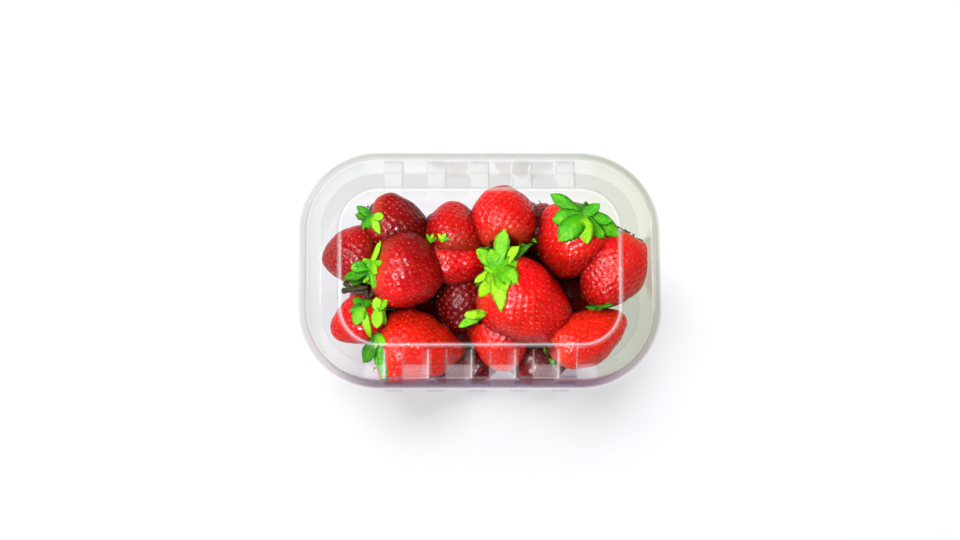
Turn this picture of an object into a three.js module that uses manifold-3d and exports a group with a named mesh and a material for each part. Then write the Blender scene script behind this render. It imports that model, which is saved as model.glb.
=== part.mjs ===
// Clear thermoformed punnet with a press-on lid, filled with strawberries.
// Millimetres, +Z up, +X along the long side, +Y to the back. The tray stands on z = 0.
//
// Every outline of the pack is the same rounded rectangle, moved in or out: a point of it is a
// point of the core rectangle plus the outward normal times (CORNER_R - inset). "Inset" is
// therefore always the distance in from the lid's outer edge.

import * as THREE from 'three';
import { mergeVertices } from 'three/addons/utils/BufferGeometryUtils.js';
import Module from 'manifold-3d';

const wasm = await Module();
wasm.setup();

// ---- named sizes ------------------------------------------------------------------------
const LENGTH = 143;          // over the lid's skirt, along X
const WIDTH = 95;            // over the lid's skirt, along Y
const CORNER_R = 32;         // outer corner radius in plan
const SHEET = 0.5;           // thickness of the formed sheet
const CLEAR = 0.35;          // gap between lid and tray, and round the fruit

const TRAY_FLANGE_Z = 48;    // top of the tray's flange
const LID_FLANGE_Z = 49;     // top of the lid's flat flange
const PANEL_Z = 53.8;        // top of the raised panel
const RIDGE_H = 0.8;         // ridge round the panel
const PANEL_INSET = 16.5;    // middle of that ridge
const WALL_FOOT = 9.2;       // where the sloped wall meets the flange
const BULGE_EDGE = 3.6;      // outer end of a bulge of the sloped wall

const BULGES = 5;            // on each long side
const BULGE_PITCH = 17.0;
const BULGE_W = 6.4;         // width of one bulge
const BULGE_STEP = 0.9;      // length of its side step in plan
const TRAY_FLUTE = 1.0;      // how far the tray's wall steps out at the same places

const HX = LENGTH / 2 - CORNER_R;   // half sizes of the core rectangle
const HY = WIDTH / 2 - CORNER_R;

// ---- the run of points round every outline -----------------------------------------------
// each station: core point (cx, cy), outward normal (nx, ny), and b = 1 on a bulge
function stations(cornerSteps, withBulges = true) {
  const list = [];
  const longSide = (sign) => {
    const xs = [];
    for (let k = 0; k < BULGES; k++) {
      const c = (k - (BULGES - 1) / 2) * BULGE_PITCH;
      const h = BULGE_W / 2;
      xs.push([c - h - BULGE_STEP, 0], [c - h, 1], [c + h, 1], [c + h + BULGE_STEP, 0]);
    }
    // the front runs left to right, the back right to left
    const run = sign < 0 ? xs : xs.slice().reverse();
    for (const [x, b] of run) list.push({ cx: x, cy: sign * HY, nx: 0, ny: sign, b });
  };
  const corner = (sx, sy, from) => {
    for (let i = 0; i <= cornerSteps; i++) {
      const a = (from + (90 * i) / cornerSteps) * Math.PI / 180;
      list.push({ cx: sx * HX, cy: sy * HY, nx: Math.cos(a), ny: Math.sin(a), b: 0 });
    }
  };
  if (withBulges) longSide(-1);
  corner(1, -1, 270);
  corner(1, 1, 0);
  if (withBulges) longSide(1);
  corner(-1, 1, 90);
  corner(-1, -1, 180);
  return list;
}

// ---- one closed skin from loops ----------------------------------------------------------
// loops: [[inset, z], ...] or functions of b; the first and the last close on the axis
function skin(st, poleStart, loops, poleEnd) {
  const n = st.length;
  const pos = [0, 0, poleStart];
  for (const loop of loops) {
    for (const s of st) {
      const [inset, z] = typeof loop === 'function' ? loop(s.b) : loop;
      const r = CORNER_R - inset;
      pos.push(s.cx + s.nx * r, s.cy + s.ny * r, z);
    }
  }
  pos.push(0, 0, poleEnd);
  const last = pos.length / 3 - 1;
  const idx = [];
  for (let i = 0; i < n; i++) {
    const j = (i + 1) % n;
    idx.push(0, 1 + j, 1 + i);
    for (let k = 0; k + 1 < loops.length; k++) {
      const a = 1 + k * n, b = a + n;
      idx.push(a + i, a + j, b + j, a + i, b + j, b + i);
    }
    const e = 1 + (loops.length - 1) * n;
    idx.push(e + i, e + j, last);
  }
  const g = new THREE.BufferGeometry();
  g.setAttribute('position', new THREE.Float32BufferAttribute(pos, 3));
  g.setIndex(idx);
  return g;
}

// ---- tray --------------------------------------------------------------------------------
// outside: base, foot ring, wall with flutes, underside of the rolled rim;
// then back down the inside
const flute = (inset, z) => (b) => [inset - b * TRAY_FLUTE, z];

function trayGeometry() {
  const F = TRAY_FLANGE_Z;
  const loops = [
    [17.0, 1.0], [16.0, 0], [8.8, 0], [7.3, 1.2],      // raised middle, foot ring, base edge
    flute(6.6, 5.0), flute(3.4, F - 4.5),              // outside of the wall
    [3.1, F - SHEET], [2.3, F - 0.3], [1.9, F + 0.6],  // under the flange
    [1.4, F + 0.6], [1.35, F - 2.8],                   // inside the rolled edge
    [0.85, F - 2.8], [0.9, F + 0.8], [1.3, F + 1.2],   // outside of the rolled edge
    [2.3, F + 1.2], [2.7, F + 0.3], [3.6, F - 0.1],    // top of the flange
    flute(3.9, F - 4.5), flute(7.1, 5.2),              // inside of the wall
    [7.7, 1.5], [9.0, SHEET], [15.8, SHEET], [16.8, 1.0 + SHEET],
  ];
  return skin(stations(4), 1.0, loops, 1.0 + SHEET);
}

// ---- lid ---------------------------------------------------------------------------------
// top: from the middle of the panel outward and down the skirt; under: back inward beneath
function lidGeometry() {
  const P = PANEL_Z, F = LID_FLANGE_Z, t = SHEET;
  const slope = (b, drop) => [WALL_FOOT, (b ? F + 3.2 : F + 0.5) - drop];
  const shelf = (b, drop) => b ? [BULGE_EDGE + 0.8 + drop, F + 2.4 - drop] : [WALL_FOOT - 1.1, F - drop];
  const foot = (b, drop) => b ? [BULGE_EDGE + drop * 1.1, F + 0.1 - drop * 0.9] : [BULGE_EDGE + 0.6 + drop, F - drop];
  const top = [
    [PANEL_INSET + 1.4, P], [PANEL_INSET + 0.7, P + RIDGE_H], [PANEL_INSET - 0.6, P + RIDGE_H],
    [PANEL_INSET - 1.2, P - 0.5],
    (b) => slope(b, 0), (b) => shelf(b, 0), (b) => foot(b, 0),
    [3.1, F + 0.2], [2.8, F + 1.3], [0.9, F + 1.3], [0.1, F + 0.4], [0, F - 4.6],
  ];
  const under = [
    [t, F - 4.6], [t + 0.05, F + 0.2], [1.1, F + 0.8], [2.5, F + 0.8], [2.95, F - 0.2],
    (b) => foot(b, t), (b) => shelf(b, t), (b) => slope(b, t + 0.1),
    [PANEL_INSET - 0.9, P - 1.1], [PANEL_INSET - 0.4, P + RIDGE_H - t],
    [PANEL_INSET + 0.5, P + RIDGE_H - t], [PANEL_INSET + 1.2, P - t],
  ];
  return skin(stations(4), P - t, [...top, ...under].reverse(), P);
}

// ---- fruit -------------------------------------------------------------------------------
// one row per berry: centre x, y, z, length, diameter, then the way its tip points, as a
// bearing in plan and a rise, in degrees, where the widest girth lies (smaller is nearer the
// stalk) and how blunt it is (smaller is rounder). The upper fifteen make the heap's top.
const BERRIES = [
  [-27.8, 1.9, 35.2, 28.5, 32.6, -14, -8, 0.66, 0.5],
  [-23.4, -27.9, 22.5, 36.0, 33.0, 2, -4, 0.56, 0.62],
  [19.8, -11.3, 34.0, 40.5, 33.0, -33, -12, 0.66, 0.48],
  [37.8, 13.4, 34.2, 30.5, 31.6, -118, -30, 0.64, 0.5],
  [53.7, 2.7, 34.5, 33.0, 26.8, 240, -8, 0.78, 0.46],
  [43.8, -22.8, 30.0, 34.0, 22.8, 24, -8, 0.68, 0.5],
  [9.8, -22.6, 19.0, 26.0, 27.0, -84, -12, 0.66, 0.48],
  [-6.3, -8.0, 20.0, 26.0, 24.0, -100, -10, 0.66, 0.52],
  [-5.7, 7.9, 31.0, 30.0, 21.5, 0, -10, 0.62, 0.54],
  [-9.8, 18.7, 34.0, 24.0, 23.4, 98, -20, 0.72, 0.43],
  [9.8, 24.0, 37.2, 27.0, 26.4, 93, -22, 0.74, 0.47],
  [25.5, 21.9, 29.0, 20, 19.0, 70, -15, 0.66, 0.5],
  [-32.0, 20.8, 33.0, 27.0, 23.6, -18, -12, 0.68, 0.48],
  [-50.9, 9.3, 30.0, 23.5, 24.4, 180, -14, 0.66, 0.49],
  [-48.6, -17.2, 29.0, 22.5, 19.8, 202, -12, 0.66, 0.5],
  [-26.5, 17.4, 13.3, 26, 22, 20, 4, 0.64, 0.52],
  [-41.1, -12.8, 12.6, 24, 21, -80, -2, 0.64, 0.52],
  [21.8, 0.7, 11.5, 22, 18.5, 120, 0, 0.64, 0.52],
  [50.5, 14.5, 13.4, 25, 23, 15, 4, 0.64, 0.52],
  [41.1, -15.9, 13.1, 26, 22, 60, 0, 0.64, 0.52],
  [3.8, 15.6, 12.2, 22, 20, 170, -3, 0.64, 0.52],
  [-41.2, -1.3, 13.3, 22, 21, 90, 5, 0.64, 0.52],
  [51.3, 0.7, 11.3, 20, 17, 30, 0, 0.64, 0.52],
  [-19.1, 0.2, 11.6, 22, 19, 30, 0, 0.64, 0.52],
  [-45.3, 15.7, 11.4, 20, 18, 100, 0, 0.64, 0.52],
  [-13.9, -29.1, 11.0, 24, 19, 165, 0, 0.64, 0.52],
  [27.1, -30.0, 11.5, 24, 19, 10, 0, 0.64, 0.52],
  [2.4, -30.7, 8.5, 17, 13.5, 20, 0, 0.64, 0.52],
  [18.7, -30.7, 8.5, 17, 13.5, 160, 0, 0.64, 0.52],
  [-11.5, 25.5, 10.6, 22, 17, 175, 0, 0.64, 0.52],
  [17, 27.3, 11, 20, 17.5, -175, 0, 0.64, 0.52],
  [33, 23.6, 10.4, 18, 16.5, -5, 0, 0.64, 0.52],
  [37.6, 0.2, 11, 19, 17, 90, 0, 0.64, 0.52],
  [-6.2, -19.3, 9.2, 17, 14.2, 30, 0, 0.64, 0.52],
];

// girth of a berry at t, from 0 at the stalk to 1 at the tip
const girth = (t, shoulder, blunt) =>
  Math.pow(Math.max(0, Math.sin(Math.PI * Math.pow(t, shoulder))), blunt);

function berryGeometry(length, diameter, shoulder, blunt, around, along) {
  const profile = [];
  for (let i = 0; i <= along; i++) {
    const t = (1 - Math.cos((Math.PI * i) / along)) / 2;
    const r = i === 0 || i === along ? 0 : (diameter / 2) * girth(t, shoulder, blunt);
    profile.push(new THREE.Vector2(r, (t - 0.5) * length));
  }
  return new THREE.LatheGeometry(profile, around);   // axis along +Y
}

// ---- joining -----------------------------------------------------------------------------
function toManifold(geometry) {
  let g = geometry.clone();
  g.deleteAttribute('normal');
  g.deleteAttribute('uv');
  g = mergeVertices(g, 1e-4);
  const m = new wasm.Manifold(new wasm.Mesh({
    numProp: 3,
    vertProperties: new Float32Array(g.attributes.position.array),
    triVerts: new Uint32Array(g.index.array),
  }));
  return m;
}

function fromManifold(m) {
  const mesh = m.getMesh();
  const n = mesh.vertProperties.length / mesh.numProp;
  const pos = new Float32Array(n * 3);
  for (let i = 0; i < n; i++) {
    for (let c = 0; c < 3; c++) pos[i * 3 + c] = mesh.vertProperties[i * mesh.numProp + c];
  }
  const g = new THREE.BufferGeometry();
  g.setAttribute('position', new THREE.BufferAttribute(pos, 3));
  g.setIndex(new THREE.BufferAttribute(new Uint32Array(mesh.triVerts), 1));
  return g;
}

// the space inside the shut pack, drawn in by the clearance
function cavity() {
  const F = TRAY_FLANGE_Z, c = CLEAR, P = PANEL_Z - SHEET - c;
  const loops = [
    [16.8, 1.0 + SHEET + c], [15.6, SHEET + c], [9.2, SHEET + c], [8.0, 1.7 + c], [7.1 + c, 5.2],
    [3.9 + c, F - 4.5], [4.1 + c, F - 0.3], [WALL_FOOT + 0.6, F + 0.3],
    [PANEL_INSET - 0.6, P - 0.85], [PANEL_INSET + 1.6, P],
  ];
  return skin(stations(4, false), 1.0 + SHEET + c, loops, P);
}

// a low mound among the lower berries, so that the heap is one piece down to the base
function mound() {
  const c = CLEAR;
  const loops = [
    [26.5, 1.0 + SHEET + c], [26.0, 4], [26.5, 12], [29.5, 16.5],
  ];
  return skin(stations(4, false), 1.0 + SHEET + c, loops, 16.5);
}

function fruitGeometry() {
  let heap = toManifold(mound());
  const up = new THREE.Vector3(0, 1, 0);
  BERRIES.forEach(([x, y, z, len, dia, az, el, sh, bl], i) => {
    const a = (az * Math.PI) / 180, e = (el * Math.PI) / 180;
    const dir = new THREE.Vector3(
      Math.cos(e) * Math.cos(a), Math.cos(e) * Math.sin(a), Math.sin(e));
    const g = i < 15 ? berryGeometry(len, dia, sh, bl, 11, 6) : berryGeometry(len, dia, sh, bl, 6, 5);
    g.applyQuaternion(new THREE.Quaternion().setFromUnitVectors(up, dir));
    g.translate(x, y, z);
    heap = heap.add(toManifold(g));
  });
  return fromManifold(heap.intersect(toManifold(cavity())));
}

// ---- scene graph -------------------------------------------------------------------------
const clearPlastic = (opacity) => new THREE.MeshStandardMaterial({
  color: new THREE.Color(0.87, 0.9, 0.86), roughness: 0.08, metalness: 0,
  transparent: true, opacity,
});

const group = new THREE.Group();

function add(name, geometry, material) {
  const mesh = new THREE.Mesh(geometry, material);
  mesh.name = name;
  group.add(mesh);
}

add('tray', trayGeometry(), clearPlastic(0.3));
add('strawberries', fruitGeometry(),
  new THREE.MeshStandardMaterial({ color: new THREE.Color(0.72, 0.02, 0.03), roughness: 0.35, metalness: 0 }));
add('lid', lidGeometry(), clearPlastic(0.25));

export default group;
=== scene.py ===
import math

import bpy
import numpy as np
from mathutils import Matrix, Vector
from mathutils.bvhtree import BVHTree


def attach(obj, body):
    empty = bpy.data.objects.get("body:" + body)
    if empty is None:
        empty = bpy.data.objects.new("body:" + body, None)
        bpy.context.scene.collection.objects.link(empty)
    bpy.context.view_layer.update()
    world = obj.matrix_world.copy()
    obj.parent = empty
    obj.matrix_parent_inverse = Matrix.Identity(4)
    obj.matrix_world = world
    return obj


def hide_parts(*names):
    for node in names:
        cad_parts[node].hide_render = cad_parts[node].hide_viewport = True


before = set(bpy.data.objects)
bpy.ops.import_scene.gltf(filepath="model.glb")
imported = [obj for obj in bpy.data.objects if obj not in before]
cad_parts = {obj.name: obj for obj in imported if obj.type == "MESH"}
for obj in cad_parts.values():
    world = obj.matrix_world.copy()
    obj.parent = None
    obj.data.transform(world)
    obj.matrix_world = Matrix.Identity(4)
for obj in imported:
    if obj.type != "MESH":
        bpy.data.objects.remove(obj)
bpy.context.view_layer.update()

MM = 0.001

# ---------------------------------------------------------------------------------------
# sizes shared with the CAD, in millimetres
# ---------------------------------------------------------------------------------------
LENGTH, WIDTH, CORNER_R, SHEET, CLEAR = 143.0, 95.0, 32.0, 0.5, 0.35
TRAY_F, LID_F, PANEL, RIDGE = 48.0, 49.0, 53.8, 0.8
PANEL_INSET, WALL_FOOT, BULGE_EDGE = 16.5, 9.2, 3.6
BULGES, PITCH, BULGE_W, BULGE_STEP, FLUTE = 5, 17.0, 6.4, 0.9, 1.0
HX, HY = LENGTH / 2 - CORNER_R, WIDTH / 2 - CORNER_R

# ---------------------------------------------------------------------------------------
# camera model: 11.5 degrees in front of straight down, 2 degrees to the left
# ---------------------------------------------------------------------------------------
CAM_T = np.array([0.0, -0.5, 50.0])
CAM_D, CAM_F = 1000.0, 95.25
_d = np.array([-math.tan(math.radians(2.0)), -math.tan(math.radians(11.5)), 1.0])
_d /= np.linalg.norm(_d)
CAM_C = CAM_T + CAM_D * _d
_fwd = -_d
_right = np.array([1.0, 0, 0]) - _fwd * _fwd[0]
_right /= np.linalg.norm(_right)
_up = np.cross(_right, _fwd)
CAM_K = CAM_F / 36.0 * 960.0


def ray(px, py):
    d = _fwd * CAM_K + _right * (px - 480.0) - _up * (py - 270.0)
    return CAM_C, d / np.linalg.norm(d)


def at_z(px, py, z):
    o, d = ray(px, py)
    return o + d * ((z - o[2]) / d[2])


def unit(v):
    v = np.asarray(v, float)
    return v / max(np.linalg.norm(v), 1e-12)


# ---------------------------------------------------------------------------------------
# node helpers
# ---------------------------------------------------------------------------------------
class Mat:
    def __init__(self, name):
        self.m = bpy.data.materials.new(name)
        self.m.use_nodes = True
        self.t = self.m.node_tree
        self.t.nodes.clear()
        self.out = self.t.nodes.new("ShaderNodeOutputMaterial")
        self.x = 0

    def n(self, kind, **values):
        node = self.t.nodes.new(kind)
        self.x += 170
        node.location = (self.x - 2600, 0)
        for k, v in values.items():
            if k.startswith("p_"):
                setattr(node, k[2:], v)
            else:
                key = k.replace("_", " ")
                node.inputs[key].default_value = v
        return node

    def link(self, a, b):
        self.t.links.new(a, b)

    def math(self, op, a, b=None, clamp=False):
        node = self.t.nodes.new("ShaderNodeMath")
        node.operation = op
        node.use_clamp = clamp
        for i, v in enumerate((a, b)):
            if v is None:
                continue
            if isinstance(v, (int, float)):
                node.inputs[i].default_value = v
            else:
                self.link(v, node.inputs[i])
        return node.outputs[0]

    def mix(self, fac, a, b, blend="MIX"):
        node = self.t.nodes.new("ShaderNodeMix")
        node.data_type = "RGBA"
        node.blend_type = blend
        for sock, v in ((node.inputs[0], fac), (node.inputs[6], a), (node.inputs[7], b)):
            if isinstance(v, (int, float)):
                sock.default_value = v
            elif isinstance(v, tuple):
                sock.default_value = (*v, 1.0)
            else:
                self.link(v, sock)
        return node.outputs[2]

    def ramp(self, fac, stops, interp="LINEAR"):
        node = self.t.nodes.new("ShaderNodeValToRGB")
        r = node.color_ramp
        r.interpolation = interp
        while len(r.elements) < len(stops):
            r.elements.new(0.5)
        for e, (p, c) in zip(r.elements, stops):
            e.position = p
            e.color = (*c, 1.0) if len(c) == 3 else c
        self.link(fac, node.inputs[0])
        return node.outputs[0]


def grey(v):
    return (v, v, v)


# ---------------------------------------------------------------------------------------
# materials
# ---------------------------------------------------------------------------------------
def flesh_material():
    m = Mat("strawberry_flesh")
    tint = m.n("ShaderNodeVertexColor", p_layer_name="tint")
    sep = m.n("ShaderNodeSeparateColor")
    m.link(tint.outputs[0], sep.inputs[0])
    tone, along, pit = sep.outputs[0], sep.outputs[1], sep.outputs[2]
    obj = m.n("ShaderNodeTexCoord").outputs["Object"]

    big = m.n("ShaderNodeTexNoise", Scale=95.0, Detail=3.0, Roughness=0.55)
    m.link(obj, big.inputs["Vector"])
    mid = m.n("ShaderNodeTexNoise", Scale=420.0, Detail=3.0, Roughness=0.6)
    m.link(obj, mid.inputs["Vector"])
    fine = m.n("ShaderNodeTexNoise", Scale=1500.0, Detail=2.0, Roughness=0.5)
    m.link(obj, fine.inputs["Vector"])

    # tone, moved a little by slow mottling
    v = m.math("ADD", tone, m.math("MULTIPLY", m.math("SUBTRACT", big.outputs[0], 0.5), 0.55))
    v = m.math("ADD", v, m.math("MULTIPLY", m.math("SUBTRACT", mid.outputs[0], 0.5), 0.22), clamp=True)
    base = m.ramp(v, [
        (0.0, (0.33, 0.0010, 0.0042)), (0.30, (0.52, 0.0018, 0.0046)),
        (0.62, (0.72, 0.0042, 0.0040)), (1.0, (0.88, 0.0200, 0.0032)),
    ])
    # paler, more orange shoulder under the leaves
    pale = m.ramp(along, [(0.0, grey(0.75)), (0.07, grey(0.40)), (0.17, grey(0.0))])
    base = m.mix(m.math("MULTIPLY", pale, 0.55), base, (0.93, 0.16, 0.035))
    # painted shade: darker red at the bottom of each pit
    base = m.mix(m.math("MULTIPLY", pit, 0.50), base, (0.36, 0.0010, 0.0030))
    # bruised, darker skin where berries press on each other
    # painted shade: the skin is darkened where little light reaches it between the berries, more on some berries and
    # towards one side of them
    shade = m.n("ShaderNodeVertexColor", p_layer_name="open").outputs[0]
    base = m.mix(1.0, base, shade, "MULTIPLY")

    b1 = m.n("ShaderNodeBump", Strength=0.16, Distance=0.0006)
    m.link(mid.outputs[0], b1.inputs["Height"])
    b2 = m.n("ShaderNodeBump", Strength=0.10, Distance=0.00018)
    m.link(fine.outputs[0], b2.inputs["Height"])
    m.link(b1.outputs[0], b2.inputs["Normal"])

    rough = m.math("ADD", 0.26, m.math("MULTIPLY", mid.outputs[0], 0.22))
    p = m.n("ShaderNodeBsdfPrincipled")
    m.link(base, p.inputs["Base Color"])
    m.link(rough, p.inputs["Roughness"])
    m.link(b2.outputs[0], p.inputs["Normal"])
    p.inputs["Specular IOR Level"].default_value = 0.10
    p.inputs["Coat Weight"].default_value = 0.45
    p.inputs["Coat Roughness"].default_value = 0.16
    p.inputs["Coat IOR"].default_value = 1.36
    p.inputs["Subsurface Weight"].default_value = 0.10
    p.inputs["Subsurface Radius"].default_value = (1.0, 0.12, 0.08)
    p.inputs["Subsurface Scale"].default_value = 0.0016
    m.link(p.outputs[0], m.out.inputs[0])
    return m.m


def seed_material():
    m = Mat("strawberry_seed")
    tint = m.n("ShaderNodeVertexColor", p_layer_name="tint")
    sep = m.n("ShaderNodeSeparateColor")
    m.link(tint.outputs[0], sep.inputs[0])
    base = m.ramp(sep.outputs[2], [
        (0.0, (0.50, 0.009, 0.004)), (0.5, (0.67, 0.026, 0.005)), (1.0, (0.76, 0.060, 0.008)),
    ])
    # painted shade: the seeds are darkened with the skin's painted shade
    base = m.mix(sep.outputs[1], (0.075, 0.0015, 0.001), base)   # in the gaps the seeds are as dark as the skin
    noise = m.n("ShaderNodeTexNoise", Scale=2600.0, Detail=2.0)
    m.link(m.n("ShaderNodeTexCoord").outputs["Object"], noise.inputs["Vector"])
    base = m.mix(m.math("MULTIPLY", noise.outputs[0], 0.35), base, (0.55, 0.07, 0.008))
    p = m.n("ShaderNodeBsdfPrincipled")
    m.link(base, p.inputs["Base Color"])
    p.inputs["Roughness"].default_value = 0.38
    p.inputs["Specular IOR Level"].default_value = 0.4
    m.link(p.outputs[0], m.out.inputs[0])
    return m.m


def leaf_material():
    m = Mat("strawberry_leaf")
    tint = m.n("ShaderNodeVertexColor", p_layer_name="tint")
    sep = m.n("ShaderNodeSeparateColor")
    m.link(tint.outputs[0], sep.inputs[0])
    along, side, tone = sep.outputs[0], sep.outputs[1], sep.outputs[2]
    obj = m.n("ShaderNodeTexCoord").outputs["Object"]
    noise = m.n("ShaderNodeTexNoise", Scale=260.0, Detail=4.0, Roughness=0.6)
    m.link(obj, noise.inputs["Vector"])
    fine = m.n("ShaderNodeTexNoise", Scale=1600.0, Detail=3.0, Roughness=0.6)
    m.link(obj, fine.inputs["Vector"])
    v = m.math("ADD", tone, m.math("MULTIPLY", m.math("SUBTRACT", noise.outputs[0], 0.5), 0.5))
    v = m.math("ADD", v, m.math("MULTIPLY", along, 0.20), clamp=True)
    base = m.ramp(v, [
        (0.0, (0.007, 0.045, 0.0012)), (0.30, (0.022, 0.155, 0.0010)),
        (0.62, (0.044, 0.34, 0.0006)), (1.0, (0.27, 0.59, 0.004)),
    ])
    # pale midrib and side veins
    rib = m.ramp(side, [(0.0, grey(1.0)), (0.10, grey(0.25)), (0.2, grey(0.0))])
    base = m.mix(m.math("MULTIPLY", rib, 0.30), base, (0.30, 0.50, 0.03))
    veins = m.math("SINE", m.math("ADD", m.math("MULTIPLY", along, 42.0), m.math("MULTIPLY", side, -9.0)))
    veins = m.math("MULTIPLY", m.math("ADD", veins, 1.0), 0.5)
    base = m.mix(m.math("MULTIPLY", veins, 0.18), base, (0.018, 0.12, 0.002))
    bump = m.n("ShaderNodeBump", Strength=0.35, Distance=0.0002)
    m.link(m.math("ADD", veins, fine.outputs[0]), bump.inputs["Height"])
    p = m.n("ShaderNodeBsdfPrincipled")
    m.link(base, p.inputs["Base Color"])
    m.link(bump.outputs[0], p.inputs["Normal"])
    p.inputs["Roughness"].default_value = 0.5
    p.inputs["Specular IOR Level"].default_value = 0.12
    p.inputs["Sheen Weight"].default_value = 0.02
    p.inputs["Subsurface Weight"].default_value = 0.18
    p.inputs["Subsurface Radius"].default_value = (0.4, 1.0, 0.1)
    p.inputs["Subsurface Scale"].default_value = 0.0008
    m.link(p.outputs[0], m.out.inputs[0])
    return m.m


def stalk_material():
    m = Mat("dry_stalk")
    obj = m.n("ShaderNodeTexCoord").outputs["Object"]
    noise = m.n("ShaderNodeTexNoise", Scale=420.0, Detail=4.0, Roughness=0.65)
    m.link(obj, noise.inputs["Vector"])
    base = m.ramp(noise.outputs[0], [(0.30, (0.008, 0.006, 0.003)), (0.52, (0.028, 0.022, 0.006)), (0.72, (0.085, 0.088, 0.012))])
    bump = m.n("ShaderNodeBump", Strength=0.4, Distance=0.0003)
    m.link(noise.outputs[0], bump.inputs["Height"])
    p = m.n("ShaderNodeBsdfPrincipled")
    m.link(base, p.inputs["Base Color"])
    m.link(bump.outputs[0], p.inputs["Normal"])
    p.inputs["Roughness"].default_value = 0.7
    p.inputs["Specular IOR Level"].default_value = 0.2
    m.link(p.outputs[0], m.out.inputs[0])
    return m.m


def core_material():
    m = Mat("fruit_core_in_painted_shade")
    noise = m.n("ShaderNodeTexNoise", Scale=160.0, Detail=4.0)
    m.link(m.n("ShaderNodeTexCoord").outputs["Object"], noise.inputs["Vector"])
    # painted shade: the core is coloured nearly black red, as fruit deep in shade
    base = m.ramp(noise.outputs[0], [(0.3, (0.035, 0.0008, 0.003)), (0.7, (0.10, 0.001, 0.003))])
    p = m.n("ShaderNodeBsdfPrincipled")
    m.link(base, p.inputs["Base Color"])
    p.inputs["Roughness"].default_value = 0.6
    m.link(p.outputs[0], m.out.inputs[0])
    return m.m


def plastic_material(name, tint, edge_tint, gloss, gain, power, wave_scale):
    """Clear formed sheet: what is behind shows through, the gloss grows at a glancing angle."""
    m = Mat(name)
    obj = m.n("ShaderNodeTexCoord").outputs["Object"]
    wave = m.n("ShaderNodeTexNoise", Scale=wave_scale, Detail=2.0, Roughness=0.5)
    m.link(obj, wave.inputs["Vector"])
    fine = m.n("ShaderNodeTexNoise", Scale=900.0, Detail=3.0, Roughness=0.6)
    m.link(obj, fine.inputs["Vector"])
    b1 = m.n("ShaderNodeBump", Strength=0.30, Distance=0.0009)
    m.link(wave.outputs[0], b1.inputs["Height"])
    b2 = m.n("ShaderNodeBump", Strength=0.05, Distance=0.00012)
    m.link(fine.outputs[0], b2.inputs["Height"])
    m.link(b1.outputs[0], b2.inputs["Normal"])

    facing = m.n("ShaderNodeLayerWeight", Blend=0.5).outputs["Facing"]
    facing_n = m.n("ShaderNodeLayerWeight", Blend=0.5)
    m.link(b2.outputs[0], facing_n.inputs["Normal"])
    fres = m.math("POWER", facing_n.outputs["Facing"], power)
    fac = m.math("ADD", m.math("MULTIPLY", fres, gain), gloss, clamp=True)

    # the sheet looks deeper, greyer and greener the more it is seen edge on
    marks = m.n("ShaderNodeVertexColor", p_layer_name="tint")
    sep = m.n("ShaderNodeSeparateColor")
    m.link(marks.outputs[0], sep.inputs[0])
    edge = m.math("POWER", facing, 1.5)
    clear = m.n("ShaderNodeBsdfTransparent")
    body = m.mix(edge, tint, edge_tint)
    # painted shade: the right end of the sheet is tinted darker and greener
    green_shade = m.math("MULTIPLY", sep.outputs[1], m.math("ADD", 0.4, m.math("MULTIPLY", wave.outputs[0], 1.2)), clamp=True)
    body = m.mix(green_shade, body, (0.957, 0.970, 0.925))
    # painted shade: the rim, the folds and the front wall are tinted darker, lavender towards the front
    xyz = m.n("ShaderNodeSeparateXYZ")
    m.link(obj, xyz.inputs[0])
    to_front = m.math("MULTIPLY", m.math("ADD", xyz.outputs[1], 0.022), -55.0, clamp=True)
    denser_and_shaded = m.mix(to_front, (0.80, 0.80, 0.785), (0.80, 0.735, 0.795))
    body = m.mix(sep.outputs[2], body, denser_and_shaded)
    m.link(body, clear.inputs[0])

    p = m.n("ShaderNodeBsdfPrincipled")
    p.inputs["Base Color"].default_value = (0.93, 0.95, 0.92, 1.0)
    p.inputs["Metallic"].default_value = 1.0
    rough = m.math("ADD", 0.05, m.math("MULTIPLY", fine.outputs[0], 0.08))
    m.link(rough, p.inputs["Roughness"])
    m.link(b2.outputs[0], p.inputs["Normal"])

    mix = m.n("ShaderNodeMixShader")
    m.link(fac, mix.inputs[0])
    m.link(clear.outputs[0], mix.inputs[1])
    m.link(p.outputs[0], mix.inputs[2])

    # painted highlights: whitish lines along the folds, the ridge and the left sides of the bulges, and a painted
    # reflection on the flat shelf
    glint_bsdf = m.n("ShaderNodeBsdfDiffuse")
    m.link(m.ramp(fine.outputs[0], [(0.3, (0.72, 0.66, 0.71)), (0.7, (0.82, 0.77, 0.81))]), glint_bsdf.inputs[0])
    glint_weight = m.math("MULTIPLY", sep.outputs[0], m.math("ADD", 0.72, m.math("MULTIPLY", wave.outputs[0], 0.56)), clamp=True)
    with_glint = m.n("ShaderNodeMixShader")
    m.link(glint_weight, with_glint.inputs[0])
    m.link(mix.outputs[0], with_glint.inputs[1])
    m.link(glint_bsdf.outputs[0], with_glint.inputs[2])

    # light reaches the fruit and the floor through the sheet
    path = m.n("ShaderNodeLightPath")
    through = m.math("MAXIMUM", path.outputs["Is Shadow Ray"], path.outputs["Is Diffuse Ray"])
    pane = m.n("ShaderNodeBsdfTransparent")
    pane.inputs[0].default_value = (0.955, 0.956, 0.962, 1.0)
    last = m.n("ShaderNodeMixShader")
    m.link(through, last.inputs[0])
    m.link(with_glint.outputs[0], last.inputs[1])
    m.link(pane.outputs[0], last.inputs[2])
    m.link(last.outputs[0], m.out.inputs[0])
    return m.m


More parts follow.
